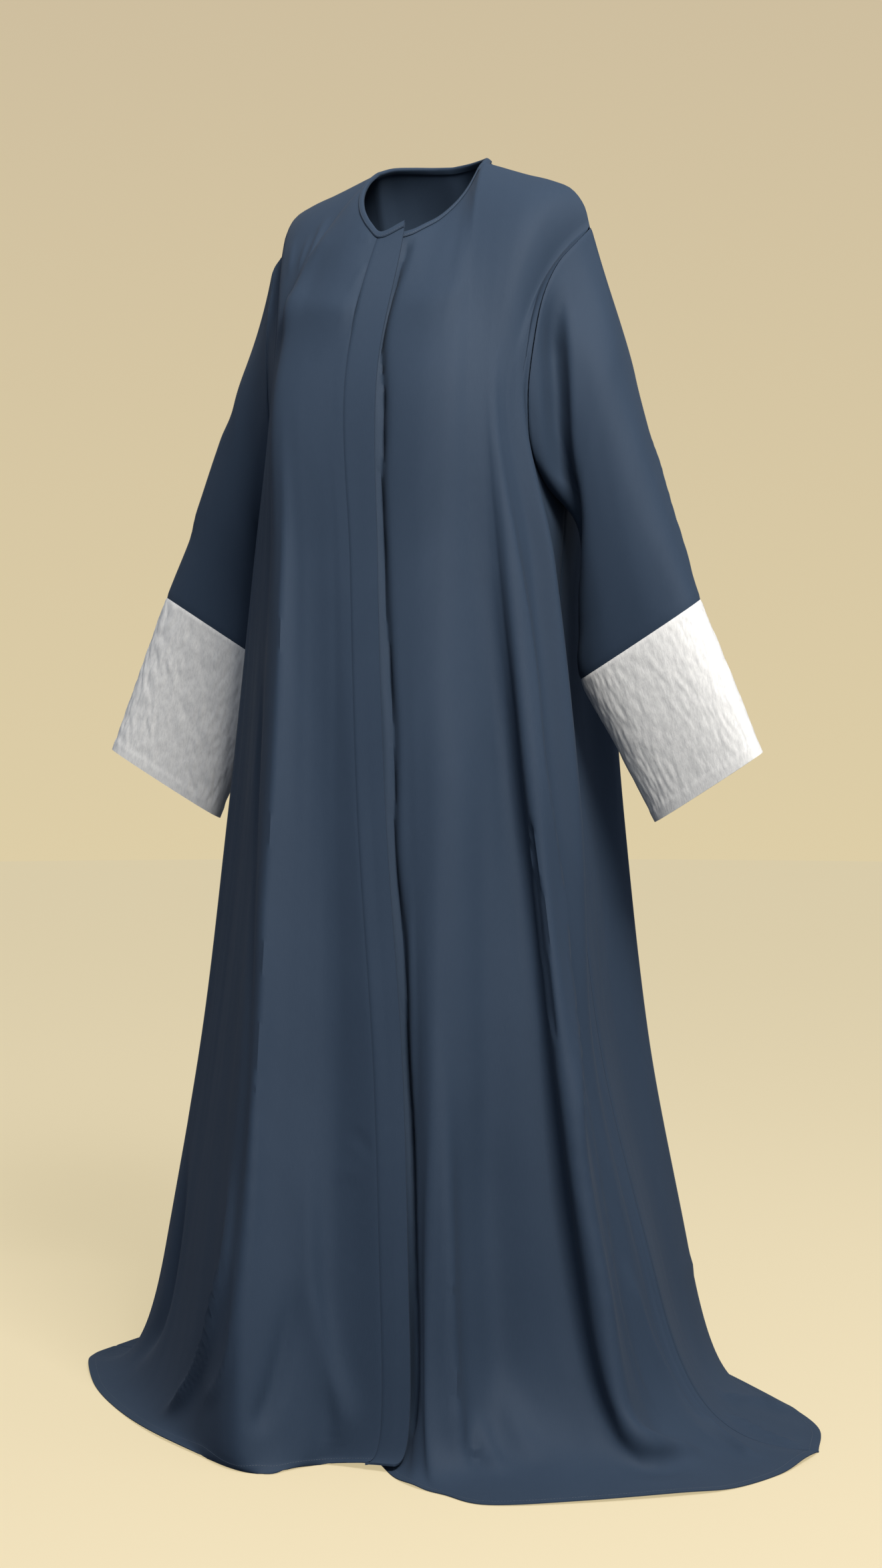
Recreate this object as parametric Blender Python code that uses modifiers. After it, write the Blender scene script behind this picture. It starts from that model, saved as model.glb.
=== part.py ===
"""An open-front abaya as it hangs on a general figure, with nobody in it: two fronts that lap at a
placket strip, a back, two wide sleeves with contrast cuffs, and a bound neckline.

Metres, +Z up, the front faces -Y and the wearer's left is +X. The tables are in millimetres, with
heights above the floor. The origin is on the shoulder line, where the wearer carries the cloth."""

import math
from collections import namedtuple

import bpy
from mathutils import Vector

MM = 0.001
HOLD_HEIGHT = 1440  # shoulder line above the floor
WALL = 1.6  # crepe with its turnings
PLACKET_WALL = 2.2  # the strip at the opening is folded double
BINDING_WALL = 1.0
BINDING_WIDTH = 7.5
BINDING_INSET = 0.3  # from the neck's edge
SEAM_GAP = 0.25  # how far each edge stands back from its seam, where the two pieces lie level
TURN_GAP = 1.0  # the same at the seams where the cloth turns: shoulders, armholes and sides
SLEEVE_STAND = 1.5  # how far out of the armhole a sleeve starts, since both hang down from the underarm
NECK_END = 0.999  # of the neck's run: a column past it is on the shoulder seam
SEAM_STATION = 0.9  # the binding's last station before a shoulder seam, between two columns
EDGE_ROW = 9.0  # the first row of points below a top edge, which the binding follows
BINDING_CLEAR = 0.35  # between the binding and the placket strip under it
BINDING_RAISE = PLACKET_WALL / 2 + BINDING_CLEAR + BINDING_WALL / 2  # its middle, above a panel's

LEVELS = {"chest": 1200, "waist": 980, "thigh": 700, "knee": 420, "shin": 160}
MEASURED_LEVELS = ("chest", "thigh", "shin", "hem")  # where the widths between folds are compared
RUN_LENGTHS = (170, 150, 350)  # about how long the neck, shoulder and armhole runs are
ARMHOLE_RUN = 2
CHEST_BELOW_TOP = 40  # a fold that starts low on the armhole has its chest point this far under its top
WAIST_BELOW_TOP = 140

# The top edge of the body, run by run: (across, back, height).
NECK_LEFT = (
    (-14, -106, 1360), (5, -103, 1361), (25, -93, 1366), (34, -80, 1374),
    (44, -64, 1384), (53, -46, 1399), (61, -24, 1421), (70, 2, 1459),
)
NECK_RIGHT = (
    (21, -104, 1375), (-7, -114, 1363), (-19, -110, 1374), (-32, -100, 1388),
    (-44, -84, 1403), (-55, -62, 1421), (-62, -37, 1439), (-70, 2, 1459),
)
NECK_BACK = ((0, 62, 1470), (24, 58, 1471), (46, 46, 1471), (62, 27, 1468), (70, 2, 1459))
SHOULDER = (
    (70, 2, 1459), (98, 1, 1449), (126, 0, 1439), (160, -1, 1428), (185, -1, 1416), (199, 0, 1398),
    (207, 1, 1370),
)
ARMHOLE_FRONT = (
    (207, 1, 1370), (202, -26, 1350), (190, -50, 1324), (183, -70, 1292), (175, -87, 1224),
    (170, -90, 1161), (169, -72, 1098), (174, -32, 1064), (180, 0, 1058),
)
ARMHOLE_BACK = (
    (207, 1, 1370), (203, 27, 1350), (194, 52, 1322), (187, 72, 1288), (180, 88, 1224),
    (176, 88, 1161), (173, 68, 1098), (176, 30, 1064), (180, 0, 1058),
)

# How the cloth leaves its top edge, at whole and half runs from the neck's middle to the underarm.
LEAVE_FRONT = (
    (0.0, -0.50, -0.87), (0.38, -0.68, -0.63), (0.62, -0.50, -0.62), (0.0, -0.93, -0.37),
    (-0.48, -0.68, -0.55), (-0.28, -0.12, -0.95), (-0.20, 0.0, -0.98),
)
LEAVE_TIP = (0.09, -0.38, -0.92)  # the placket strip under its pointed top
LEAVE_BACK = (
    (0.0, 0.50, -0.86), (0.30, 0.74, -0.60), (0.48, 0.80, -0.36), (0.0, 0.93, -0.37),
    (-0.48, 0.68, -0.55), (-0.28, 0.12, -0.95), (-0.20, 0.0, -0.98),
)

# One row for each fold, ridge and hollow in turn. top counts runs along the top edge (0-1 neck, 1-2
# shoulder, 2-3 armhole), the pairs are (across, back) at each level, and lift is the hem's height.
Fold = namedtuple("Fold", "top chest waist thigh knee shin hem lift")
LEFT_FOLDS = (
    Fold(0.00, (-14, -171), (2, -195), (29, -226), (66, -254), (90, -290), (94, -306), 0),
    Fold(0.22, (22, -168), (39, -194), (66, -225), (103, -253), (123, -286), (138, -348), 0),
    Fold(0.42, (52, -167), (64, -191), (88, -222), (118, -256), (134, -293), (166, -364), 2),
    Fold(0.61, (78, -164), (85, -187), (104, -220), (129, -258), (146, -299), (186, -370), 0),
    Fold(0.80, (97, -158), (101, -181), (119, -216), (137, -257), (152, -300), (205, -374), 0),
    Fold(1.00, (121, -139), (134, -152), (160, -172), (179, -203), (199, -235), (262, -384), 0),
    Fold(1.22, (134, -129), (155, -140), (193, -157), (229, -184), (264, -205), (345, -334), 2),
    Fold(1.45, (144, -122), (171, -138), (215, -163), (265, -190), (317, -209), (425, -268), 3),
    Fold(2.00, (158, -106), (184, -108), (216, -118), (250, -126), (309, -138), (470, -214), 0),
    Fold(2.22, (168, -93), (205, -92), (235, -88), (255, -94), (316, -102), (494, -152), 0),
    Fold(2.62, (167, -91), (168, -56), (196, -42), (237, -61), (314, -78), (504, -94), 4),
    Fold(3.00, (176, 0), (169, 0), (191, -4), (236, -28), (320, -58), (505, -52), 0),
)
RIGHT_FOLDS = (
    Fold(0.00, (23, -175), (38, -203), (65, -235), (102, -265), (127, -298), (126, -332), 9),
    Fold(0.16, (-15, -179), (5, -207), (32, -240), (70, -273), (95, -303), (92, -333), 7),
    Fold(0.34, (-36, -181), (-17, -209), (0, -239), (20, -274), (40, -309), (38, -340), 0),
    Fold(0.50, (-54, -183), (-37, -210), (-20, -243), (-3, -285), (18, -327), (22, -368), 2),
    Fold(0.66, (-71, -184), (-54, -212), (-38, -250), (-23, -298), (-5, -348), (12, -391), 0),
    Fold(0.84, (-94, -183), (-79, -213), (-64, -258), (-51, -314), (-33, -372), (-14, -396), 0),
    Fold(1.00, (-112, -165), (-112, -185), (-118, -212), (-125, -250), (-135, -292), (-150, -342), 2),
    Fold(1.45, (-128, -146), (-144, -153), (-167, -156), (-193, -174), (-222, -198), (-282, -253), 0),
    Fold(2.00, (-135, -137), (-158, -139), (-191, -134), (-228, -138), (-270, -150), (-360, -182), 0),
    Fold(2.20, (-141, -128), (-168, -124), (-213, -108), (-258, -100), (-312, -98), (-418, -112), 3),
    Fold(2.60, (-163, -91), (-166, -56), (-194, -42), (-238, -48), (-306, -58), (-446, -58), 0),
    Fold(3.00, (-176, 0), (-169, 0), (-188, 0), (-232, -8), (-300, -14), (-446, -10), 0),
)
BACK_FOLDS = (
    Fold(3.00, (176, 0), (169, 0), (191, -4), (236, -28), (320, -58), (505, -52), 0),
    Fold(2.60, (172, 91), (174, 58), (194, 46), (226, 38), (292, 28), (476, 30), 3),
    Fold(2.00, (168, 104), (186, 100), (205, 104), (229, 128), (266, 158), (340, 178), 0),
    Fold(1.45, (128, 124), (140, 128), (152, 128), (168, 142), (188, 168), (244, 258), 0),
    Fold(1.00, (84, 134), (90, 154), (100, 182), (112, 214), (124, 248), (144, 316), 2),
    Fold(0.55, (42, 130), (44, 144), (48, 160), (52, 182), (58, 210), (74, 300), 0),
    Fold(0.00, (0, 128), (-2, 148), (-4, 174), (-6, 206), (-8, 242), (-6, 322), 2),
    Fold(-0.55, (-42, 130), (-46, 142), (-50, 158), (-56, 180), (-62, 210), (-78, 302), 0),
    Fold(-1.00, (-84, 134), (-92, 152), (-104, 180), (-118, 212), (-130, 246), (-152, 312), 2),
    Fold(-1.45, (-128, 124), (-142, 128), (-156, 126), (-172, 140), (-194, 164), (-252, 250), 0),
    Fold(-2.00, (-168, 104), (-186, 100), (-208, 106), (-236, 130), (-278, 156), (-352, 186), 3),
    Fold(-2.60, (-166, 91), (-170, 58), (-198, 46), (-242, 42), (-318, 34), (-436, 66), 0),
    Fold(-3.00, (-176, 0), (-169, 0), (-188, 0), (-232, -8), (-300, -14), (-446, -10), 0),
)
FALL_REACH = 0.86  # how near the floor the cloth falls straight before it turns, from the shin
FLOOR_REACH = 0.72  # how much of the way back from the hem to there it lies flat
SHOULDER_DRAW = 3  # how much nearer the neck the right armhole hangs than the left
PLACKET_FOLD = 1  # the row of RIGHT_FOLDS on which the placket strip is seamed

# How many rows of faces each stretch of a fall takes, from the top edge to the hem on the floor.
ROWS = {"chest": 6, "waist": 3, "thigh": 3, "knee": 3, "shin": 4, "foot": 7}
EDGE = "edge"  # stands for the place down of the row just below the top edge
FRONT_COLUMN = 32  # the most between two columns of a front, at the measured levels
BACK_COLUMN = 44

# Each sleeve's outer and inner lines, (outwards, back, height), and how far its front stands from
# the middle between them; the back stands as far the other way.
Station = namedtuple("Station", "outer inner front")
LEFT_STATIONS = (
    Station((207, 1, 1370), (180, 0, 1058), (0, -88, 0)),
    Station((236, -4, 1280), (199, -2, 1030), (0, -66, 0)),
    Station((261, -10, 1192), (203, -4, 990), (0, -56, -2)),
    Station((287, -16, 1110), (203, -7, 950), (0, -49, -6)),
    Station((316, -20, 1024), (202, -9, 905), (0, -42, -10)),
    Station((349, -22, 936), (203, -10, 852), (0, -35, -11)),
    Station((388, -25, 851), (247, -6, 770), (0, -27, -9)),
    Station((426, -28, 765), (291, -2, 687), (0, -20, -6)),
)
RIGHT_STATIONS = (
    Station((204, 1, 1370), (177, 0, 1058), (0, -88, 0)),
    Station((226, -4, 1278), (196, -2, 1030), (0, -66, 0)),
    Station((250, -10, 1190), (200, -4, 990), (0, -56, 2)),
    Station((279, -16, 1112), (201, -7, 950), (0, -49, 6)),
    Station((311, -20, 1032), (202, -9, 908), (0, -42, 10)),
    Station((349, -24, 952), (203, -14, 864), (0, -36, 11)),
    Station((389, -28, 858), (246, -14, 773), (0, -30, 9)),
    Station((428, -32, 764), (288, -14, 682), (0, -25, 7)),
)
CUFF_STATION = 5  # the cuff is seamed on here
SLEEVE_ROWS = 14
CUFF_ROWS = 4
SLEEVE_SQUARENESS = 0.82  # under 1 the tube's section is fuller than an ellipse
ARMHOLE_REACH = 1.8  # stations over which the armhole's outline turns into the tube's

CREPE = ((0.058, 0.078, 0.110, 1.0), 0.62)  # colour, roughness
CUFF_CLOTH = ((0.60, 0.60, 0.63, 1.0), 0.45)


class Curve:
    """A smooth line through a few values, each a vector, read by a parameter that runs over its knots."""

    def __init__(self, values, knots=None, first_slope=None):
        self.values = [Vector(value) for value in values]
        self.knots = list(knots) if knots else self.chord_knots()
        self.slopes = self.middle_slopes()
        if first_slope:
            self.slopes[0] = first_slope

    def chord_knots(self):
        knots = [0.0]
        for before, after in zip(self.values, self.values[1:]):
            knots.append(knots[-1] + (after - before).length)
        return [knot / knots[-1] for knot in knots]

    def middle_slopes(self):
        pieces = range(len(self.values) - 1)
        spans = [self.knots[i + 1] - self.knots[i] for i in pieces]
        rates = [(self.values[i + 1] - self.values[i]) / spans[i] for i in pieces]
        slopes = [rates[0]]
        for i in pieces[1:]:
            slopes.append((rates[i - 1] * spans[i] + rates[i] * spans[i - 1]) / (spans[i - 1] + spans[i]))
        return slopes + [rates[-1]]

    def at(self, place):
        last = len(self.values) - 2
        i = next((n for n in range(last) if place <= self.knots[n + 1]), last)
        span = self.knots[i + 1] - self.knots[i]
        t = (place - self.knots[i]) / span
        start = self.values[i] * (2 * t**3 - 3 * t**2 + 1) + self.slopes[i] * span * (t**3 - 2 * t**2 + t)
        end = self.values[i + 1] * (3 * t**2 - 2 * t**3) + self.slopes[i + 1] * span * (t**3 - t**2)
        return start + end


def mirrored(points):
    return tuple((-x, y, z) for x, y, z in points)


def drawn_shoulder(points):
    """A left shoulder or armhole run on the right, where the cloth sits a little further in."""
    neck, end = SHOULDER[0][0], SHOULDER[-1][0]
    return tuple((-x + SHOULDER_DRAW * (x - neck) / (end - neck), y, z) for x, y, z in points)


def widths_between(before, after):
    """How much cloth lies between two folds, at the measured levels and along the top edge."""
    run = int(min(abs(before.top), abs(after.top)))
    top = abs(after.top - before.top) * RUN_LENGTHS[run]
    return [math.dist(getattr(before, level), getattr(after, level)) for level in MEASURED_LEVELS] + [top]


class Panel:
    """A hanging panel: any point of it from its place across (0-1) and down (0 at the top, 6 at the hem)."""

    def __init__(self, folds, runs, leave, column_width, far_runs=()):
        self.column_width = column_width
        self.widths = [widths_between(before, after) for before, after in zip(folds, folds[1:])]
        self.knots = [0.0]
        for widths in self.widths:
            self.knots.append(self.knots[-1] + sum(widths) / len(widths))
        self.runs = [Curve(run) for run in runs]
        self.far_runs = [Curve(run) for run in far_runs]
        self.leave = Curve(leave, [i / 2 for i in range(len(leave))])
        self.tops = [fold.top for fold in folds]
        self.hem = Curve([(*fold.hem, fold.lift + WALL / 2) for fold in folds], self.knots)
        self.levels = {
            name: Curve([(*getattr(fold, name), 0) for fold in folds], self.knots) for name in LEVELS
        }

    def top_place(self, across):
        """How many runs along the top edge a place across is."""
        last = len(self.knots) - 2
        i = next((n for n in range(last) if across <= self.knots[n + 1]), last)
        share = (across - self.knots[i]) / (self.knots[i + 1] - self.knots[i])
        return self.tops[i] + (self.tops[i + 1] - self.tops[i]) * share

    def top(self, across):
        """The top edge's point, and the way the cloth leaves it."""
        place = self.top_place(across)
        run = min(int(abs(place)), ARMHOLE_RUN)
        way = self.leave.at(abs(place)).normalized()
        if place >= 0:
            return self.runs[run].at(place - run), way
        return self.far_runs[run].at(-place - run), Vector((-way.x, way.y, way.z))

    def fall(self, across):
        """The points of one line from the top edge to the shin, and its way down at the top."""
        top, way = self.top(across)
        points = [top]
        for name, height in LEVELS.items():
            point = self.levels[name].at(across)
            below = {"chest": CHEST_BELOW_TOP, "waist": WAIST_BELOW_TOP}.get(name, 0)
            point.z = min(height, top.z - below) if below else height
            points.append(point)
        return points, way

    def line(self, across):
        """The whole line as a function of its place down."""
        points, way = self.fall(across)
        lengths = [0.0]
        for before, after in zip(points, points[1:]):
            lengths.append(lengths[-1] + (after - before).length)
        upper = Curve(points, lengths, first_slope=way)
        shin = points[-1]
        down = (points[-1] - points[-2]).normalized()
        hem = self.hem.at(across)
        landing = shin + down * (shin.z / -down.z)
        landing.z = hem.z
        turn_high = shin.lerp(landing, FALL_REACH)
        turn_low = hem.lerp(landing, FLOOR_REACH)

        def at(place):
            if place == EDGE:
                return upper.at(min(EDGE_ROW, lengths[1] / ROWS["chest"] / 2))
            if place <= len(LEVELS):
                i = min(int(place), len(LEVELS) - 1)
                return upper.at(lengths[i] + (lengths[i + 1] - lengths[i]) * (place - i))
            t = place - len(LEVELS)
            s = 1 - t
            return s**3 * shin + 3 * s * s * t * turn_high + 3 * s * t * t * turn_low + t**3 * hem

        return at

    def columns(self, first, last):
        """Places across from one fold to another: each fold has a column of its own."""
        places = [self.knots[first]]
        for i in range(first, last):
            steps = math.ceil(max(self.widths[i]) / self.column_width)
            span = self.knots[i + 1] - self.knots[i]
            places += [self.knots[i] + span * step / steps for step in range(1, steps + 1)]
        return places

    def grid(self, first, last):
        """Rows of points from one fold to another, top row first."""
        places = [i + step / ROWS[stage] for i, stage in enumerate(ROWS) for step in range(ROWS[stage])]
        places.insert(1, EDGE)
        places.append(float(len(ROWS)))
        lines = [self.line(across) for across in self.columns(first, last)]
        return [[line(place) for line in lines] for place in places]


def inward(edge, within, i, closed=False):
    """The way into the cloth from one point of an edge, square to the edge."""
    last = len(edge) - 1
    ahead = (i + 1) % len(edge) if closed else min(i + 1, last)
    behind = i - 1 if closed else max(i - 1, 0)
    along = edge[ahead] - edge[behind]
    into = within[i] - edge[i]
    return (into - along * (into.dot(along) / along.length_squared)).normalized()


def stood_back(grid, first=0.0, last=0.0, left=0.0, right=0.0, closed=False):
    """The grid with its edges drawn in along the cloth, to leave a seam's gap."""
    drawn = [list(row) for row in grid]
    columns = list(zip(*grid))
    for i in range(len(columns)):
        drawn[0][i] = drawn[0][i] + inward(grid[0], grid[1], i, closed) * first
        drawn[-1][i] = drawn[-1][i] + inward(grid[-1], grid[-2], i, closed) * last
    for i in range(len(grid)):
        drawn[i][0] = drawn[i][0] + inward(columns[0], columns[1], i) * left
        drawn[i][-1] = drawn[i][-1] + inward(columns[-1], columns[-2], i) * right
    return drawn


class Sleeve:
    """A sleeve on the left side: a tube through its stations, whose first rings turn out of the armhole."""

    def __init__(self, stations, armhole):
        knots = range(len(stations))
        self.outer = Curve([station.outer for station in stations], knots)
        self.inner = Curve([station.inner for station in stations], knots)
        self.front = Curve([station.front for station in stations], knots)
        self.angles = [angle for angle, _ in armhole]
        self.strays = [edge - point for (_, edge), point in zip(armhole, self.tube_ring(0))]

    def tube_ring(self, place):
        """One ring of the plain tube: it starts on the outer line and comes round by the front."""
        outer, inner = self.outer.at(place), self.inner.at(place)
        middle, half = (outer + inner) / 2, (outer - inner) / 2
        forward = self.front.at(place)
        return [
            middle + half * squared(math.cos(angle)) + forward * squared(math.sin(angle))
            for angle in self.angles
        ]

    def rings(self, start, end, rows):
        """Rings of points from one station to another."""
        grid = []
        for row in range(rows + 1):
            place = start + (end - start) * row / rows
            turned = min(place / ARMHOLE_REACH, 1.0)
            stay = 1 - turned * turned * (3 - 2 * turned)
            grid.append([point + stray * stay for point, stray in zip(self.tube_ring(place), self.strays)])
        return grid


def squared(wave):
    """A sine or cosine pushed towards a square wave, which fills out an ellipse."""
    return math.copysign(abs(wave) ** SLEEVE_SQUARENESS, wave)


def armhole(front, back, side):
    """Angles and points round one armhole, where the panels' columns end on it, as if on the left."""
    ring = {}
    for panel, way in ((back, -1), (front, 1)):
        for across in panel.columns(0, len(panel.tops) - 1):
            place = panel.top_place(across)
            if abs(place) < ARMHOLE_RUN or (panel is back and place * side < 0):
                continue
            point, _ = panel.top(across)
            angle = way * math.pi * (abs(place) - ARMHOLE_RUN)
            ring[round(angle, 6) % round(2 * math.pi, 6)] = Vector((point.x * side, point.y, point.z))
    return sorted(ring.items(), key=lambda pair: pair[0])


def clear_scene():
    for old in list(bpy.data.objects):
        bpy.data.objects.remove(old, do_unlink=True)


def cloth_material(name, colour, roughness):
    material = bpy.data.materials.new(name)
    material.use_nodes = True
    shader = material.node_tree.nodes["Principled BSDF"]
    shader.inputs["Base Color"].default_value = colour
    shader.inputs["Roughness"].default_value = roughness
    return material


def world(point):
    """Metres from the origin, for a point in millimetres from the floor."""
    return Vector((point.x, point.y, point.z - HOLD_HEIGHT)) * MM


def cloth_piece(name, grid, wall, material, collection, round_about=False, flipped=False):
    """A closed wall on the rows of a grid, which close into rings where round_about is set."""
    rows, columns = len(grid), len(grid[0])
    steps = columns if round_about else columns - 1
    faces = []
    points = [point for row in grid for point in row]
    for row in range(rows - 1):
        for i in range(steps):
            a, b = row * columns + i, row * columns + (i + 1) % columns
            c, d = b + columns, a + columns
            if (points[a] - points[c]).length < (points[b] - points[d]).length:
                faces += [(a, b, c), (a, c, d)]
            else:
                faces += [(a, b, d), (b, c, d)]
    if flipped:
        faces = [face[::-1] for face in faces]
    mesh = bpy.data.meshes.new(name)
    mesh.from_pydata([world(point) for point in points], [], faces)
    mesh.materials.append(material)
    mesh.shade_smooth()
    piece = bpy.data.objects.new(name, mesh)
    collection.objects.link(piece)
    solid = piece.modifiers.new("Wall", "SOLIDIFY")
    solid.thickness = wall * MM
    solid.offset = 0
    return piece


def neck_columns(left, back, right):
    """The binding's stations in turn round the neck: each a point's place as a function of its distance
    down the cloth from the neck's edge."""

    def down_column(panel, across):
        line = panel.line(across)
        edge, under = line(0), line(EDGE)
        return lambda reach: edge + (under - edge).normalized() * reach

    def on_seam(run):
        edge, ahead = Vector(run[0]), Vector(run[1])
        return lambda reach: edge + (ahead - edge).normalized() * reach

    def inside_neck(panel):
        places = panel.columns(0, len(panel.tops) - 1)
        found = []
        for before, after in zip(places, places[1:]):
            starts, ends = [abs(panel.top_place(across)) < NECK_END for across in (before, after)]
            if starts:
                found.append(before)
            if starts != ends:
                near_seam = SEAM_STATION if starts else 1 - SEAM_STATION
                found.append(before + (after - before) * near_seam)
        return found

    stations = [down_column(left, across) for across in inside_neck(left)]
    stations.append(on_seam(SHOULDER))
    stations += [down_column(back, across) for across in inside_neck(back)]
    stations.append(on_seam(drawn_shoulder(SHOULDER)))
    return stations + [down_column(right, across) for across in reversed(inside_neck(right))]


def binding_grid(stations):
    """The neck binding's points, laid on the panels: a strip of even width along the neck's edge."""
    edge = [station(0) for station in stations]
    last = len(edge) - 1
    grid = [[], []]
    for i, station in enumerate(stations):
        down = (station(1) - edge[i]).normalized()
        pieces = [edge[max(i, 1)] - edge[max(i, 1) - 1], edge[min(i + 1, last)] - edge[min(i + 1, last) - 1]]
        before, after = [down.cross(piece).normalized() for piece in pieces]
        outward = (before + after) / (1 + before.dot(after))
        slant = down.cross((edge[min(i + 1, last)] - edge[max(i - 1, 0)]).normalized()).length
        for row, reach in enumerate((BINDING_INSET, BINDING_WIDTH)):
            grid[row].append(station(reach / slant) + outward * BINDING_RAISE)
    return grid


def main():
    clear_scene()
    collection = bpy.data.collections.new("abaya")
    bpy.context.scene.collection.children.link(collection)
    crepe = cloth_material("crepe", *CREPE)
    cuff_cloth = cloth_material("cuff_jacquard", *CUFF_CLOTH)

    left = Panel(LEFT_FOLDS, (NECK_LEFT, SHOULDER, ARMHOLE_FRONT), LEAVE_FRONT, FRONT_COLUMN)
    right_runs = (NECK_RIGHT, drawn_shoulder(SHOULDER), drawn_shoulder(ARMHOLE_FRONT))
    leave_right = (LEAVE_TIP,) + mirrored(LEAVE_FRONT[1:])
    right = Panel(RIGHT_FOLDS, right_runs, leave_right, FRONT_COLUMN)
    far_runs = (mirrored(NECK_BACK), drawn_shoulder(SHOULDER), drawn_shoulder(ARMHOLE_BACK))
    back = Panel(BACK_FOLDS, (NECK_BACK, SHOULDER, ARMHOLE_BACK), LEAVE_BACK, BACK_COLUMN, far_runs)

    left_grid = stood_back(left.grid(0, len(LEFT_FOLDS) - 1), first=TURN_GAP, right=TURN_GAP)
    cloth_piece("front_left", left_grid, WALL, crepe, collection)

    right_grid = right.grid(PLACKET_FOLD, len(RIGHT_FOLDS) - 1)
    right_grid = stood_back(right_grid, first=TURN_GAP, left=SEAM_GAP, right=TURN_GAP)
    cloth_piece("front_right", right_grid, WALL, crepe, collection, flipped=True)
    strip_grid = stood_back(right.grid(0, PLACKET_FOLD), first=TURN_GAP, right=SEAM_GAP)
    cloth_piece("front_placket", strip_grid, PLACKET_WALL, crepe, collection, flipped=True)

    back_grid = back.grid(0, len(BACK_FOLDS) - 1)
    back_grid = stood_back(back_grid, first=TURN_GAP, left=TURN_GAP, right=TURN_GAP)
    cloth_piece("back", back_grid, WALL, crepe, collection)

    for side, turn, stations in (("left", 1, LEFT_STATIONS), ("right", -1, RIGHT_STATIONS)):
        sleeve = Sleeve(stations, armhole(left if turn > 0 else right, back, turn))
        upper = sleeve.rings(0, CUFF_STATION, SLEEVE_ROWS)
        upper = stood_back(upper, first=TURN_GAP, last=SEAM_GAP, closed=True)
        lower = sleeve.rings(CUFF_STATION, len(stations) - 1, CUFF_ROWS)
        lower = stood_back(lower, first=SEAM_GAP, closed=True)
        for name, rings, cloth in (("sleeve", upper, crepe), ("cuff", lower, cuff_cloth)):
            grid = [
                [Vector(((point.x + SLEEVE_STAND) * turn, point.y, point.z)) for point in ring]
                for ring in rings
            ]
            cloth_piece(f"{name}_{side}", grid, WALL, cloth, collection, round_about=True, flipped=turn < 0)

    binding = binding_grid(neck_columns(left, back, right))
    cloth_piece("neck_binding", binding, BINDING_WALL, crepe, collection)


main()
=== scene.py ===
import math
from collections import namedtuple

import bpy
import numpy as np
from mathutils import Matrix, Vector


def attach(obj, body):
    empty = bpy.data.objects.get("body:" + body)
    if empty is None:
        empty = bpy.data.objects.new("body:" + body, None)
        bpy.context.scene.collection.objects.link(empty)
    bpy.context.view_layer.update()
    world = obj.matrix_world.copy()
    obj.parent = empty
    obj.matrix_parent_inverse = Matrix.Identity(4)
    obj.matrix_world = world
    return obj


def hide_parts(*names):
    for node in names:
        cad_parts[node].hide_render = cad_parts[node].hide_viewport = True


# Lengths in the tables are millimetres and heights are above the floor; meshes are in metres from
# the shoulder line, with the front towards -Y and the wearer's left towards +X.
holdHeight = 1440  # the shoulder line
clothWall = 1.1  # thickness of one layer of crepe in the shells
restOnFloor = 0.8  # the cloth's middle stands this far above the floor

levels = {"chest": 1200, "waist": 980, "thigh": 700, "knee": 420, "shin": 160}
leastDrops = {"chest": 40, "waist": 140}  # these levels keep this far below the top edge
measuredLevels = ("chest", "thigh", "shin", "hem")  # where the widths between folds are measured
runLengths = (170, 150, 350)  # of the neck, the shoulder and the armhole
edgeOffsets = (0.8, 1.8, 3.2, 5.0)  # columns of points this close to a panel's side edges
edgeClear = 6  # where the evenly spaced columns begin

neckLeft = (
    (-14, -106, 1360), (5, -103, 1361), (25, -93, 1366), (34, -80, 1374),
    (44, -64, 1384), (53, -46, 1399), (61, -24, 1421), (70, 2, 1459),
)
neckRight = (
    (21, -104, 1375), (-7, -114, 1363), (-19, -110, 1374), (-32, -100, 1388),
    (-44, -84, 1403), (-55, -62, 1421), (-62, -37, 1439), (-70, 2, 1459),
)
neckBack = ((0, 62, 1470), (24, 58, 1471), (46, 46, 1471), (62, 27, 1468), (70, 2, 1459))
shoulder = (
    (70, 2, 1459), (98, 1, 1449), (126, 0, 1439), (160, -1, 1428), (185, -1, 1416), (199, 0, 1398),
    (207, 1, 1370),
)
armholeFront = (
    (207, 1, 1370), (202, -26, 1350), (190, -50, 1324), (183, -70, 1292), (175, -87, 1224),
    (170, -90, 1161), (169, -72, 1098), (174, -32, 1064), (180, 0, 1058),
)
armholeBack = (
    (207, 1, 1370), (203, 27, 1350), (194, 52, 1322), (187, 72, 1288), (180, 88, 1224),
    (176, 88, 1161), (173, 68, 1098), (176, 30, 1064), (180, 0, 1058),
)
leaveFront = (
    (0.0, -0.50, -0.87), (0.30, -0.72, -0.63), (0.22, -0.80, -0.55), (0.0, -0.93, -0.37),
    (-0.48, -0.68, -0.55), (-0.28, -0.12, -0.95), (-0.20, 0.0, -0.98),
)
leaveTip = (0.09, -0.38, -0.92)
leaveBack = (
    (0.0, 0.50, -0.86), (0.30, 0.74, -0.60), (0.48, 0.80, -0.36), (0.0, 0.93, -0.37),
    (-0.48, 0.68, -0.55), (-0.28, 0.12, -0.95), (-0.20, 0.0, -0.98),
)

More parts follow.
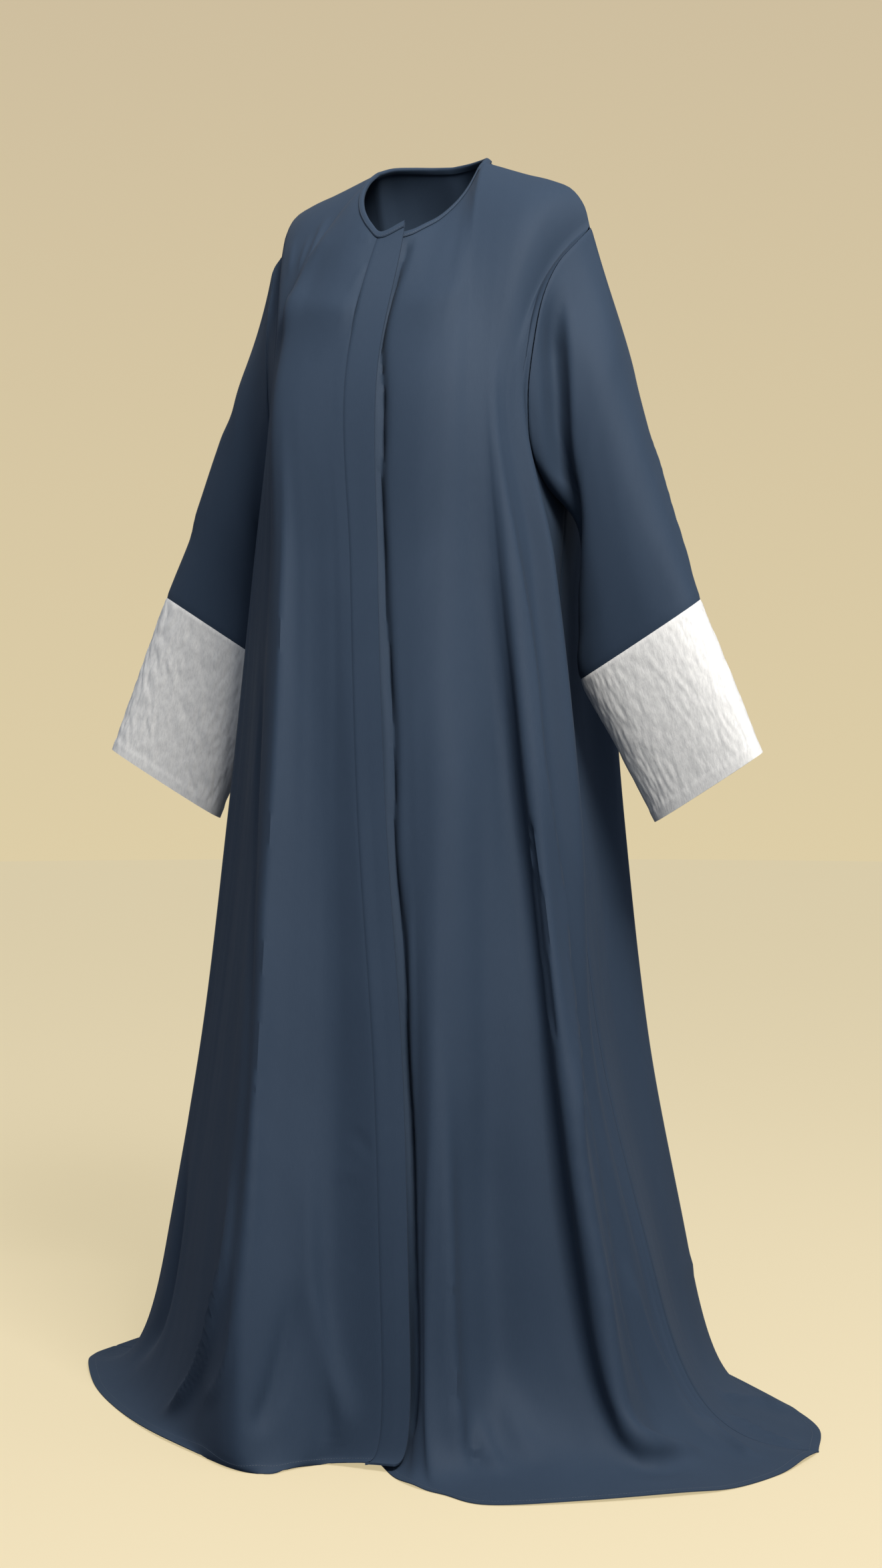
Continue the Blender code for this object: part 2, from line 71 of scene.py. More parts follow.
# One row for each fold, ridge and hollow in turn: top counts runs along the top edge (0-1 neck,
# 1-2 shoulder, 2-3 armhole), the pairs are (across, back) at each level, lift is the hem's height.
Fold = namedtuple("Fold", "top chest waist thigh knee shin hem lift")
leftFolds = (
    Fold(0.00, (-14, -171), (2, -195), (29, -226), (66, -254), (90, -290), (94, -306), 0),
    Fold(0.22, (22, -168), (39, -194), (66, -225), (103, -253), (123, -286), (138, -348), 0),
    Fold(0.42, (52, -167), (64, -191), (88, -222), (118, -256), (134, -293), (166, -364), 2),
    Fold(0.61, (78, -164), (85, -187), (104, -220), (129, -258), (146, -299), (186, -370), 0),
    Fold(0.80, (97, -158), (101, -181), (119, -216), (137, -257), (152, -300), (205, -374), 0),
    Fold(1.00, (121, -139), (134, -152), (160, -172), (179, -203), (199, -235), (262, -384), 0),
    Fold(1.22, (134, -129), (155, -140), (193, -157), (229, -184), (264, -205), (345, -334), 2),
    Fold(1.45, (144, -122), (171, -138), (215, -163), (265, -190), (317, -209), (425, -268), 3),
    Fold(2.00, (158, -106), (184, -108), (216, -118), (250, -126), (309, -138), (470, -214), 0),
    Fold(2.22, (168, -93), (205, -92), (235, -88), (255, -94), (316, -102), (494, -152), 0),
    Fold(2.62, (167, -91), (168, -56), (196, -42), (237, -61), (314, -78), (504, -94), 4),
    Fold(3.00, (176, 0), (169, 0), (191, -4), (236, -28), (320, -58), (505, -52), 0),
)
rightFolds = (
    Fold(0.00, (23, -175), (38, -203), (65, -235), (102, -265), (127, -298), (126, -332), 9),
    Fold(0.16, (-15, -179), (5, -207), (32, -240), (70, -273), (95, -303), (92, -333), 7),
    Fold(0.34, (-36, -181), (-17, -209), (0, -239), (20, -274), (40, -309), (38, -340), 0),
    Fold(0.50, (-54, -183), (-37, -210), (-20, -243), (-3, -285), (18, -327), (22, -368), 2),
    Fold(0.66, (-71, -184), (-54, -212), (-38, -250), (-23, -298), (-5, -348), (12, -391), 0),
    Fold(0.84, (-94, -183), (-79, -213), (-64, -258), (-51, -314), (-33, -372), (-14, -396), 0),
    Fold(1.00, (-112, -165), (-112, -185), (-118, -212), (-125, -250), (-135, -292), (-150, -342), 2),
    Fold(1.45, (-128, -146), (-144, -153), (-167, -156), (-193, -174), (-222, -198), (-282, -253), 0),
    Fold(2.00, (-135, -137), (-158, -139), (-191, -134), (-228, -138), (-270, -150), (-360, -182), 0),
    Fold(2.20, (-141, -128), (-168, -124), (-213, -108), (-258, -100), (-312, -98), (-418, -112), 3),
    Fold(2.60, (-163, -91), (-166, -56), (-194, -42), (-238, -48), (-306, -58), (-446, -58), 0),
    Fold(3.00, (-176, 0), (-169, 0), (-188, 0), (-232, -8), (-300, -14), (-446, -10), 0),
)
backFolds = (
    Fold(3.00, (176, 0), (169, 0), (191, -4), (236, -28), (320, -58), (505, -52), 0),
    Fold(2.60, (172, 91), (174, 58), (194, 46), (226, 38), (292, 28), (476, 30), 3),
    Fold(2.00, (168, 104), (186, 100), (205, 104), (229, 128), (266, 158), (340, 178), 0),
    Fold(1.45, (128, 124), (140, 128), (152, 128), (168, 142), (188, 168), (244, 258), 0),
    Fold(1.00, (84, 134), (90, 154), (100, 182), (112, 214), (124, 248), (144, 316), 2),
    Fold(0.55, (42, 130), (44, 144), (48, 160), (52, 182), (58, 210), (74, 300), 0),
    Fold(0.00, (0, 128), (-2, 148), (-4, 174), (-6, 206), (-8, 242), (-6, 322), 2),
    Fold(-0.55, (-42, 130), (-46, 142), (-50, 158), (-56, 180), (-62, 210), (-78, 302), 0),
    Fold(-1.00, (-84, 134), (-92, 152), (-104, 180), (-118, 212), (-130, 246), (-152, 312), 2),
    Fold(-1.45, (-128, 124), (-142, 128), (-156, 126), (-172, 140), (-194, 164), (-252, 250), 0),
    Fold(-2.00, (-168, 104), (-186, 100), (-208, 106), (-236, 130), (-278, 156), (-352, 186), 3),
    Fold(-2.60, (-166, 91), (-170, 58), (-198, 46), (-242, 42), (-318, 34), (-436, 66), 0),
    Fold(-3.00, (-176, 0), (-169, 0), (-188, 0), (-232, -8), (-300, -14), (-446, -10), 0),
)
fallReach = 0.86  # how much of the way to the floor the foot of a panel falls straight
floorReach = 0.72  # how much of the way in from the hem it lies flat
shoulderDraw = 3  # the right shoulder's end is drawn in by this
placketFold = 1  # the row of rightFolds where the placket strip is seamed on

# Each sleeve's outer and inner lines, (outwards, back, height), and half its depth there.
Station = namedtuple("Station", "outer inner front")
leftStations = (
    Station((207, 1, 1370), (180, 0, 1058), (0, -88, 0)),
    Station((236, -4, 1280), (199, -2, 1030), (0, -66, 0)),
    Station((261, -10, 1192), (203, -4, 990), (0, -56, -2)),
    Station((287, -16, 1110), (203, -7, 950), (0, -49, -6)),
    Station((316, -20, 1024), (202, -9, 905), (0, -42, -10)),
    Station((349, -22, 936), (203, -10, 852), (0, -35, -11)),
    Station((388, -25, 851), (247, -6, 770), (0, -27, -9)),
    Station((426, -28, 765), (291, -2, 687), (0, -20, -6)),
)
rightStations = (
    Station((204, 1, 1370), (177, 0, 1058), (0, -88, 0)),
    Station((226, -4, 1278), (196, -2, 1030), (0, -66, 0)),
    Station((250, -10, 1190), (200, -4, 990), (0, -56, 2)),
    Station((279, -16, 1112), (201, -7, 950), (0, -49, 6)),
    Station((311, -20, 1032), (202, -9, 908), (0, -42, 10)),
    Station((349, -24, 952), (203, -14, 864), (0, -36, 11)),
    Station((389, -28, 858), (246, -14, 773), (0, -30, 9)),
    Station((428, -32, 764), (288, -14, 682), (0, -25, 7)),
)
cuffStation = 5  # where the cuff is sewn on
sleeveSquareness = 0.82  # 1 gives oval rings, and less gives squarer ones
armholeReach = 1.8  # how many stations the rings take to turn out of the armhole
sleeveStand = 1.5  # the sleeve stands this far out from its tables


class SmoothLine:
    # A smooth line through a few points, read at one parameter or at many.
    def __init__(self, points, knots=None, firstSlope=None):
        self.points = np.array(points, float)
        if knots is None:
            steps = np.linalg.norm(np.diff(self.points, axis=0), axis=1)
            knots = np.concatenate([[0.0], np.cumsum(steps)]) / steps.sum()
        self.knots = np.array(knots, float)
        spans = np.diff(self.knots)[:, None]
        rates = np.diff(self.points, axis=0) / spans
        middle = (rates[:-1] * spans[1:] + rates[1:] * spans[:-1]) / (spans[1:] + spans[:-1])
        self.slopes = np.concatenate([rates[:1], middle, rates[-1:]])
        if firstSlope is not None:
            self.slopes[0] = firstSlope

    def at(self, place):
        place = np.asarray(place, float)
        i = np.searchsorted(self.knots[1:-1], place, side="left")
        span = (self.knots[i + 1] - self.knots[i])[..., None]
        t = (place - self.knots[i])[..., None] / span
        start = self.points[i] * (2 * t**3 - 3 * t**2 + 1) + self.slopes[i] * span * (t**3 - 2 * t**2 + t)
        end = self.points[i + 1] * (3 * t**2 - 2 * t**3) + self.slopes[i + 1] * span * (t**3 - t**2)
        return start + end


def unit(vectors):
    return vectors / np.maximum(np.linalg.norm(vectors, axis=-1, keepdims=True), 1e-9)


def mirrored(points):
    return tuple((-x, y, z) for x, y, z in points)


def drawnShoulder(points):
    neck, end = shoulder[0][0], shoulder[-1][0]
    return tuple((-x + shoulderDraw * (x - neck) / (end - neck), y, z) for x, y, z in points)


class Panel:
    # A hanging panel: points by their place across, in knots, and down: 0 top, 1-5 the levels, 6 hem.
    def __init__(self, folds, runs, leave, farRuns=()):
        self.tops = np.array([fold.top for fold in folds])
        knots = [0.0]
        for before, after in zip(folds, folds[1:]):
            widths = [math.dist(getattr(before, name), getattr(after, name)) for name in measuredLevels]
            run = int(min(abs(before.top), abs(after.top)))
            widths.append(abs(after.top - before.top) * runLengths[run])
            knots.append(knots[-1] + sum(widths) / len(widths))
        self.knots = np.array(knots)
        self.runs = [SmoothLine(run) for run in runs]
        self.farRuns = [SmoothLine(run) for run in farRuns]
        self.leave = SmoothLine(leave, [i / 2 for i in range(len(leave))])
        self.hem = SmoothLine([(*fold.hem, fold.lift + restOnFloor) for fold in folds], knots)
        self.levels = {}
        for name in levels:
            self.levels[name] = SmoothLine([(*getattr(fold, name), 0) for fold in folds], knots)

    def edge(self, place):
        # The point at a place along the top edge, and the way the cloth leaves it.
        run = min(int(abs(place)), 2)
        way = unit(self.leave.at(abs(place)))
        if place >= 0:
            return self.runs[run].at(place - run), way
        return self.farRuns[run].at(-place - run), way * (-1, 1, 1)

    def column(self, across, places):
        # Points of one line down the cloth, at the given places.
        top, way = self.edge(float(np.interp(across, self.knots, self.tops)))
        points = [top]
        for name, height in levels.items():
            point = self.levels[name].at(across)
            below = leastDrops.get(name, 0)
            point[2] = min(height, top[2] - below) if below else height
            points.append(point)
        points = np.array(points)
        lengths = np.concatenate([[0.0], np.cumsum(np.linalg.norm(np.diff(points, axis=0), axis=1))])
        upper = SmoothLine(points, lengths, firstSlope=way)
        shin = points[-1]
        down = unit(points[-1] - points[-2])
        hem = self.hem.at(across)
        landing = shin + down * (shin[2] / -down[2])
        landing[2] = hem[2]
        turnHigh = shin + (landing - shin) * fallReach
        turnLow = hem + (landing - hem) * floorReach
        places = np.asarray(places, float)
        hanging = np.minimum(places, 5)
        i = np.minimum(hanging.astype(int), 4)
        found = upper.at(lengths[i] + (lengths[i + 1] - lengths[i]) * (hanging - i))
        t = np.clip(places - 5, 0, 1)[:, None]
        s = 1 - t
        foot = s**3 * shin + 3 * s * s * t * turnHigh + 3 * s * t * t * turnLow + t**3 * hem
        return np.where(places[:, None] > 5, foot, found)

    def grid(self, acrosses, places):
        # Rows of points, top row first.
        return np.stack([self.column(across, places) for across in acrosses], axis=1)

    def acrosses(self, first, last, spacing):
        # Places across from one fold to another, closer together at both edges.
        start, end = self.knots[first], self.knots[last]
        inside = np.linspace(start, end, max(2, int((end - start) / spacing)) + 1)
        closer = [offset for offset in edgeOffsets if offset < (end - start) / 3]
        near = [start + offset for offset in closer] + [end - offset for offset in closer]
        keep = [place for place in inside if min(place - start, end - place) > edgeClear]
        return np.array(sorted([start, end] + keep + near))


def placesDown(steps):
    # Places of the rows, closer together towards the top edge and towards the hem.
    topPower, hemPower = 1.6, 1.5
    places = [(np.arange(steps["chest"]) / steps["chest"]) ** topPower]
    for stage, name in enumerate(("waist", "thigh", "knee", "shin"), 1):
        places.append(stage + np.arange(steps[name]) / steps[name])
    places.append(6 - (1 - np.arange(steps["foot"] + 1) / steps["foot"]) ** hemPower)
    return np.concatenate(places)


def squared(wave):
    return np.sign(wave) * np.abs(wave) ** sleeveSquareness


class Sleeve:
    # A sleeve as if on the left: rings through its stations, the first ones turning out of the armhole.
    def __init__(self, stations, front, back):
        knots = range(len(stations))
        self.outer = SmoothLine([station.outer for station in stations], knots)
        self.inner = SmoothLine([station.inner for station in stations], knots)
        self.forward = SmoothLine([station.front for station in stations], knots)
        self.front, self.back = SmoothLine(front), SmoothLine(back)

    def tube(self, angles, place):
        outer, inner = self.outer.at(place), self.inner.at(place)
        middle, half = (outer + inner) / 2, (outer - inner) / 2
        forward = self.forward.at(place)
        return middle + half * squared(np.cos(angles))[:, None] + forward * squared(np.sin(angles))[:, None]

    def rings(self, angles, places):
        share = np.abs(angles) / math.pi
        edge = np.where(angles[:, None] >= 0, self.front.at(share), self.back.at(share))
        strays = edge - self.tube(angles, 0.0)
        rings = []
        for place in places:
            turned = min(place / armholeReach, 1.0)
            stay = 1 - turned * turned * (3 - 2 * turned)
            rings.append(self.tube(angles, place) + strays * stay)
        return np.stack(rings) + (sleeveStand, 0, 0)


def waves(u, v, seed):
    # Smooth noise between about -1 and 1 on a lattice of unit cells.
    repeat, gain = 256, 1.4
    angles = np.random.RandomState(seed).rand(repeat, repeat) * 2 * math.pi
    cellU, cellV = np.floor(u).astype(int), np.floor(v).astype(int)
    x, y = u - cellU, v - cellV
    fadeX, fadeY = x * x * x * (x * (6 * x - 15) + 10), y * y * y * (y * (6 * y - 15) + 10)
    corners = []
    for i, j in ((0, 0), (1, 0), (0, 1), (1, 1)):
        angle = angles[(cellU + i) % repeat, (cellV + j) % repeat]
        corners.append(np.cos(angle) * (x - i) + np.sin(angle) * (y - j))
    near = corners[0] + (corners[1] - corners[0]) * fadeX
    far = corners[2] + (corners[3] - corners[2]) * fadeX
    return gain * (near + (far - near) * fadeY)


class Cloth:
    # A grid of points in millimetres, rows down and columns across, that is moved along its normals.
    def __init__(self, points, outside, closed=False):
        self.points = np.array(points, float)
        self.closed = closed
        self.side = 1.0
        normals = self.normals()
        if np.sum(normals * (self.points - outside)) < 0:
            self.side = -1.0
        self.across = self.travel(1)
        self.down = self.travel(0)
        self.free = 1.0

    def travel(self, axis):
        steps = np.linalg.norm(np.diff(self.points, axis=axis), axis=2)
        pad = [(0, 0), (0, 0)]
        pad[axis] = (1, 0)
        return np.pad(np.cumsum(steps, axis=axis), pad)

    def normals(self):
        if self.closed:
            wide = np.concatenate([self.points[:, -1:], self.points, self.points[:, :1]], axis=1)
            rightwards = (wide[:, 2:] - wide[:, :-2])
        else:
            rightwards = np.gradient(self.points, axis=1)
        downwards = np.gradient(self.points, axis=0)
        return unit(np.cross(downwards, rightwards)) * self.side

    def push(self, amounts):
        self.points = self.points + self.normals() * amounts[..., None]

    def crease(self, line, width, depth, lean=1.0, power=1.7, fade=0.25, endFade=0.25):
        # A ridge, or a trough where depth is below 0, along a line of points: lean makes one side
        # wider, and a power near 1 makes its crest sharp.
        spacing, widthsAway, atOnce = 3, 3.2, 4000
        line = np.asarray(line, float)
        length = np.linalg.norm(np.diff(line, axis=0), axis=1).sum()
        samples = max(12, int(length / spacing))
        line = SmoothLine(line).at(np.linspace(0, 1, samples))
        reach = width * widthsAway * max(lean, 1.0)
        low, high = line.min(axis=0) - reach, line.max(axis=0) + reach
        found = ((self.points > low) & (self.points < high)).all(axis=2)
        if not found.any():
            return
        points, normals = self.points[found], self.normals()[found]
        nearest = np.empty(len(points), int)
        for start in range(0, len(points), atOnce):
            apart = ((points[start:start + atOnce, None] - line[None]) ** 2).sum(axis=2)
            nearest[start:start + atOnce] = apart.argmin(axis=1)
        tangents = unit(np.gradient(line, axis=0))[nearest]
        offsets = points - line[nearest]
        offsets -= tangents * (offsets * tangents).sum(axis=1, keepdims=True)
        sides = unit(np.cross(tangents, normals))
        across = (offsets * sides).sum(axis=1)
        away = np.linalg.norm(points - line[nearest], axis=1)
        wide = np.where(across > 0, width * lean, width)
        share = nearest / (samples - 1)
        taper = np.clip(np.minimum(share / fade, (1 - share) / endFade), 0, 1)
        taper = taper * taper * (3 - 2 * taper)
        amount = np.zeros(found.shape)
        amount[found] = depth * taper * np.exp(-(away / wide) ** power)
        self.push(amount * self.free)

    def reachOut(self, by=0.8):
        # Lengthens each row at its far end, which closes the hairline at a side seam.
        self.points[:, -1] += unit(self.points[:, -1] - self.points[:, -2]) * by

    def joinAt(self, distance, fade=22.0):
        # Creases die out towards a seam, so that the pieces on both sides of it still meet.
        self.free = self.free * np.clip(distance / fade, 0, 1)

    def seam(self, distance, depth=0.9, width=2.6):
        self.push(-depth * np.exp(-(distance / width) ** 2))

    def turnUp(self, distance, choice):
        # The turned-up hem stands a little prouder than the cloth above its stitching.
        steepness = (distance - choice["hemFold"]) / choice["hemSoftness"]
        self.push(choice["hemStep"] / (1 + np.exp(steepness)))


def toWorld(points):
    return (np.asarray(points) - (0, 0, holdHeight)) * 0.001


def activate(piece):
    bpy.ops.object.select_all(action="DESELECT")
    piece.select_set(True)
    bpy.context.view_layer.objects.active = piece


def applyModifiers(piece):
    activate(piece)
    for modifier in list(piece.modifiers):
        bpy.ops.object.modifier_apply(modifier=modifier.name)


def clothMesh(name, cloth, wall, material, smoothAngle=60):
    # The cloth as a thin closed shell, with its UV map in metres along and across the weave.
    points = toWorld(cloth.points)
    rows, columns = points.shape[:2]
    around = columns if cloth.closed else columns - 1
    i, j = np.meshgrid(np.arange(rows - 1), np.arange(around), indexing="ij")
    a = i * columns + j
    b = i * columns + (j + 1) % columns
    quads = np.stack([a, a + columns, b + columns, b], axis=-1).reshape(-1, 4)
    if cloth.side < 0:
        quads = quads[:, ::-1]
    mesh = bpy.data.meshes.new(name)
    mesh.from_pydata(points.reshape(-1, 3).tolist(), [], quads.tolist())
    uv = mesh.uv_layers.new(name="weave")
    u, v = cloth.across, cloth.down
    corners = np.empty(len(mesh.loops), np.int32)
    mesh.loops.foreach_get("vertex_index", corners)
    coordinates = np.stack([u.reshape(-1)[corners], v.reshape(-1)[corners]], axis=-1) * 0.001
    if cloth.closed:
        # the last column of faces joins the far end to the near one
        tooWide, nearStart = 0.05, 0.02
        faceUs = coordinates[:, 0].reshape(-1, 4)
        seamWidth = np.linalg.norm(points[:, 0] - points[:, -1], axis=1).mean()
        wraps = faceUs.max(axis=1) - faceUs.min(axis=1) > tooWide
        if wraps.any():
            faceUs[wraps[:, None] & (faceUs < nearStart)] = faceUs[wraps].max() + seamWidth
        coordinates[:, 0] = faceUs.reshape(-1)
    uv.data.foreach_set("uv", coordinates.astype(np.float32).reshape(-1))
    mesh.materials.append(material)
    piece = bpy.data.objects.new(name, mesh)
    bpy.context.scene.collection.objects.link(piece)
    solidify = piece.modifiers.new("wall", "SOLIDIFY")
    solidify.thickness = wall * 0.001
    solidify.offset = 0
    applyModifiers(piece)
    bpy.ops.object.shade_smooth_by_angle(angle=math.radians(smoothAngle))
    return piece


def stitches(name, points, normals, material, pitch=3.2, length=2.2, thick=0.45, lift=0.15):
    # A row of short stitches along a line, each a small flattened capsule.
    points = np.asarray(points, float)
    steps = np.linalg.norm(np.diff(points, axis=0), axis=1)
    along = np.concatenate([[0.0], np.cumsum(steps)])
    starts = np.arange(pitch / 2, along[-1] - pitch / 2, pitch)
    verts, faces = [], []
    sides, flatness = 6, 0.7
    turns = np.linspace(0, 2 * math.pi, sides, endpoint=False)
    ring = [(math.cos(turn), math.sin(turn)) for turn in turns]
    profile = ((-0.5, 0.25), (-0.3, 1.0), (0.3, 1.0), (0.5, 0.25))  # along it, and how thick there
    for start in starts:
        centre = np.array([np.interp(start, along, points[:, k]) for k in range(3)])
        ahead = np.array([np.interp(start + 1, along, points[:, k]) for k in range(3)])
        normal = unit(np.array([np.interp(start, along, normals[:, k]) for k in range(3)]))
        way = unit(ahead - centre)
        side = unit(np.cross(normal, way))
        base = len(verts)
        for place, share in profile:
            for x, y in ring:
                rim = (side * x + normal * y * flatness) * thick / 2 * share
                offset = way * place * length + rim
                verts.append(toWorld(centre + normal * lift + offset))
        end = base + sides * (len(profile) - 1)
        for row in range(base, end, sides):
            for k in range(sides):
                a, b = row + k, row + (k + 1) % sides
                faces.append((a, b, b + sides, a + sides))
        faces.append(tuple(reversed(range(base, base + sides))))
        faces.append(tuple(range(end, end + sides)))
    mesh = bpy.data.meshes.new(name)
    mesh.from_pydata([tuple(vert) for vert in verts], [], faces)
    mesh.materials.append(material)
    mesh.shade_smooth()
    piece = bpy.data.objects.new(name, mesh)
    bpy.context.scene.collection.objects.link(piece)
    return piece


crepeLook = {
    "lit": (0.0186, 0.0313, 0.0535, 1), "deep": (0.0142, 0.0250, 0.0438, 1),
    "thread": (0.027, 0.042, 0.068, 1), "stitch": (0.050, 0.066, 0.092, 1), "roughness": 0.70,
    "sheen": 0.02, "threadsPerMetre": 1500.0, "pebbleScale": 1900.0, "yarnScale": 1400.0,
    "cloudScale": 9.0, "bump": 0.22,
}
# the cuff's lit colour is painted on the crinkles' crests and its deep colour is painted shade in their
# hollows
cuffLook = {
    "lit": (0.545, 0.54, 0.53, 1), "deep": (0.45, 0.445, 0.445, 1), "roughness": 0.5, "sheen": 0.05,
    "crinkleScale": 420.0, "ribScale": 1500.0, "bump": 0.4,
}


class Shades:
    # A node tree, with short ways to add its nodes.
    def __init__(self, tree):
        self.nodes, self.links = tree.nodes, tree.links

    def feed(self, sockets, values):
        # Each value is a number, a colour or another node's output.
        for key, value in values.items():
            if isinstance(value, bpy.types.NodeSocket):
                self.links.new(value, sockets[key])
            else:
                sockets[key].default_value = value

    def add(self, kind, values=(), **fields):
        node = self.nodes.new("ShaderNode" + kind)
        for field, value in fields.items():
            setattr(node, field, value)
        self.feed(node.inputs, dict(values))
        return node.outputs

    def maths(self, operation, *values):
        return self.add("Math", enumerate(values), operation=operation)[0]

    def noise(self, vector, scale, detail, roughness):
        values = {"Vector": vector, "Scale": scale, "Detail": detail, "Roughness": roughness}
        return self.add("TexNoise", values)["Fac"]

    def mix(self, factor, first, second):
        return self.add("Mix", {0: factor, 6: first, 7: second}, data_type="RGBA")[2]

    def stretch(self, vector, scale):
        # A pattern grows longer where the scale is under 1.
        return self.add("Mapping", {"Vector": vector, "Scale": scale})["Vector"]

    def bump(self, height, strength, distance):
        values = {"Height": height, "Strength": strength, "Distance": distance}
        return self.add("Bump", values)["Normal"]

    def rise(self, space, low, high):
        # From 0 to 1 between two heights.
        height = self.add("SeparateXYZ", {0: self.add("TexCoord")[space]})["Z"]
        return self.add("MapRange", {"Value": height, "From Min": low, "From Max": high})[0]


def newMaterial(name):
    material = bpy.data.materials.new(name)
    material.use_nodes = True
    shades = Shades(material.node_tree)
    return material, shades, shades.nodes["Principled BSDF"].inputs


def toned(colour, by):
    return tuple(channel * by for channel in colour[:3]) + (1,)


def crepeMaterial(name, look):
    # Twisted-yarn crepe: a pebbled fine weave, faintly heathered, with a soft dry sheen.
    material, shades, shader = newMaterial(name)
    uv = shades.add("UVMap", uv_map="weave")["UV"]
    split = shades.add("SeparateXYZ", {0: uv})
    turn = 2 * math.pi * look["threadsPerMetre"]
    warp = shades.maths("SINE", shades.maths("MULTIPLY", split["X"], turn))
    weft = shades.maths("SINE", shades.maths("MULTIPLY", split["Y"], turn))
    weave = shades.maths("MULTIPLY", warp, weft)
    pebble = shades.noise(uv, look["pebbleScale"], 2.0, 0.6)
    yarn = shades.noise(shades.stretch(uv, (1.0, 0.06, 1.0)), look["yarnScale"], 2.0, 0.55)
    cloud = shades.noise(uv, look["cloudScale"], 3.0, 0.5)
    height = shades.maths("ADD", shades.maths("MULTIPLY", weave, 0.25), pebble)
    height = shades.maths("ADD", height, shades.maths("MULTIPLY", yarn, 0.5))
    ground = shades.mix(cloud, look["deep"], look["lit"])
    fleck = shades.maths("MULTIPLY", shades.maths("POWER", yarn, 2.2), 0.55)
    shades.feed(shader, {
        "Base Color": shades.mix(fleck, ground, look["thread"]), "Roughness": look["roughness"],
        "Normal": shades.bump(height, look["bump"], 0.0004), "Sheen Weight": look["sheen"],
        "Sheen Roughness": 0.55, "Sheen Tint": (0.80, 0.88, 1.0, 1), "Specular IOR Level": 0.14,
    })
    return material


def cuffMaterial(name, look):
    # Crinkled jacquard: small broken ridges with a silky glint, a fine rib between them, and painted shade
    # that darkens the hollows between the ridges.
    material, shades, shader = newMaterial(name)
    uv = shades.add("UVMap", uv_map="weave")["UV"]
    crinkle = shades.noise(shades.stretch(uv, (1.0, 0.32, 1.0)), look["crinkleScale"], 4.0, 0.62)
    rib = shades.noise(shades.stretch(uv, (0.05, 1.0, 1.0)), look["ribScale"], 1.0, 0.5)
    height = shades.maths("ADD", crinkle, shades.maths("MULTIPLY", rib, 0.22))
    # painted shade: the crinkles' hollows get the deep colour and their crests the lit one
    paintedShade = shades.add("MapRange", {"Value": crinkle, "From Min": 0.32, "From Max": 0.58})[0]
    rough, smooth = look["roughness"] + 0.18, look["roughness"]
    gloss = shades.add("MapRange", {"Value": crinkle, "To Min": rough, "To Max": smooth})[0]
    shades.feed(shader, {
        "Base Color": shades.mix(paintedShade, look["deep"], look["lit"]), "Roughness": gloss,
        "Normal": shades.bump(height, look["bump"], 0.0008), "Sheen Weight": look["sheen"],
        "Specular IOR Level": 0.2,
    })
    return material


def threadMaterial(name, colour):
    material, shades, shader = newMaterial(name)
    twist = shades.noise(shades.add("TexCoord")["Object"], 2500.0, 1.0, 0.5)
    shades.feed(shader, {"Base Color": shades.mix(twist, toned(colour, 0.75), colour), "Roughness": 0.6})
    return material


drape = {
    "rows": {"chest": 34, "waist": 26, "thigh": 32, "knee": 32, "shin": 32, "foot": 44},
    "frontSpacing": 4.6, "backSpacing": 6.0, "ripple": 1.0, "rippleWidths": (36, 16),
    "rippleFade": 25, "hemFold": 10.0, "hemStep": 0.5, "hemSoftness": 0.8, "overFloor": 0.1,
    "stitchLift": 0.6,
}


def hangingCloth(panel, first, last, spacing, seed):
    # One panel's cloth: folds from the table, and small ripples that are full from the knee down
    # and die out at the hem and at both edges.
    acrosses = panel.acrosses(first, last, spacing)
    places = placesDown(drape["rows"])
    points = panel.grid(acrosses, places)
    cloth = Cloth(points, points * (0, 0, 1))
    u, v = np.meshgrid(acrosses, places)
    hang = np.clip(v / 4, 0.12, 1.0) * np.clip((6 - v) / 0.5, 0, 1)
    wide, narrow = drape["rippleWidths"]
    ripple = waves(u / wide + 90, v * 0.8 + 9, seed)
    ripple = ripple + 0.5 * waves(u / narrow + 90, v * 1.1 + 9, seed + 1)
    edgeFree = np.clip(np.minimum(u - u.min(), u.max() - u) / drape["rippleFade"], 0, 1)
    cloth.push(drape["ripple"] * ripple * hang * edgeFree)
    return cloth


def rowAbove(cloth, distance):
    # The line at a distance above the cloth's lower edge, with its normals.
    fromHem = cloth.down[-1:] - cloth.down
    normals = cloth.normals()
    points, outward = [], []
    for column in range(cloth.points.shape[1]):
        heights = fromHem[::-1, column]
        points.append([np.interp(distance, heights, cloth.points[::-1, column, k]) for k in range(3)])
        outward.append([np.interp(distance, heights, normals[::-1, column, k]) for k in range(3)])
    return np.array(points), unit(np.array(outward))


def drawnOn(panel, pairs):
    # A line on a panel through a few (fold number, place down) pairs.
    levelGap, spacing = 250, 14
    pairs = np.array(pairs, float)
    acrosses = np.interp(pairs[:, 0], range(len(panel.knots)), panel.knots)
    steps = np.hypot(np.diff(acrosses), np.diff(pairs[:, 1]) * levelGap)
    knots = np.concatenate([[0.0], np.cumsum(steps)]) / steps.sum()
    line = SmoothLine(np.stack([acrosses, pairs[:, 1], acrosses * 0], axis=1), knots)
    places = line.at(np.linspace(0, 1, max(12, int(steps.sum() / spacing))))
    return np.array([panel.column(across, [min(place, 6.0)])[0] for across, place, _ in places])


def lay(piece, node, sewing=()):
    # Hangs a sheet and the sewing on it from the frame's root, in its node's place.
    for each in (piece, *sewing):
        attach(each, "root")
    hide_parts(node)


def finishPanel(node, panel, cloth, choice):
    # A panel's creases, its hem and the stitches along it. Nothing sinks into the floor.
    for line, *shape in choice["creases"]:
        cloth.crease(drawnOn(panel, line), *shape)
    cloth.turnUp(cloth.down[-1:] - cloth.down, drape)
    cloth.points[..., 2] = np.maximum(cloth.points[..., 2], clothWall / 2 + drape["overFloor"])
    piece = clothMesh(node + "_cloth", cloth, clothWall, crepe)
    points, normals = rowAbove(cloth, drape["hemFold"])
    name = node + "_hem_stitches"
    sewing = stitches(name, points, normals, crepeThread, lift=drape["stitchLift"])
    lay(piece, node, [sewing])
    print(node, "hung")


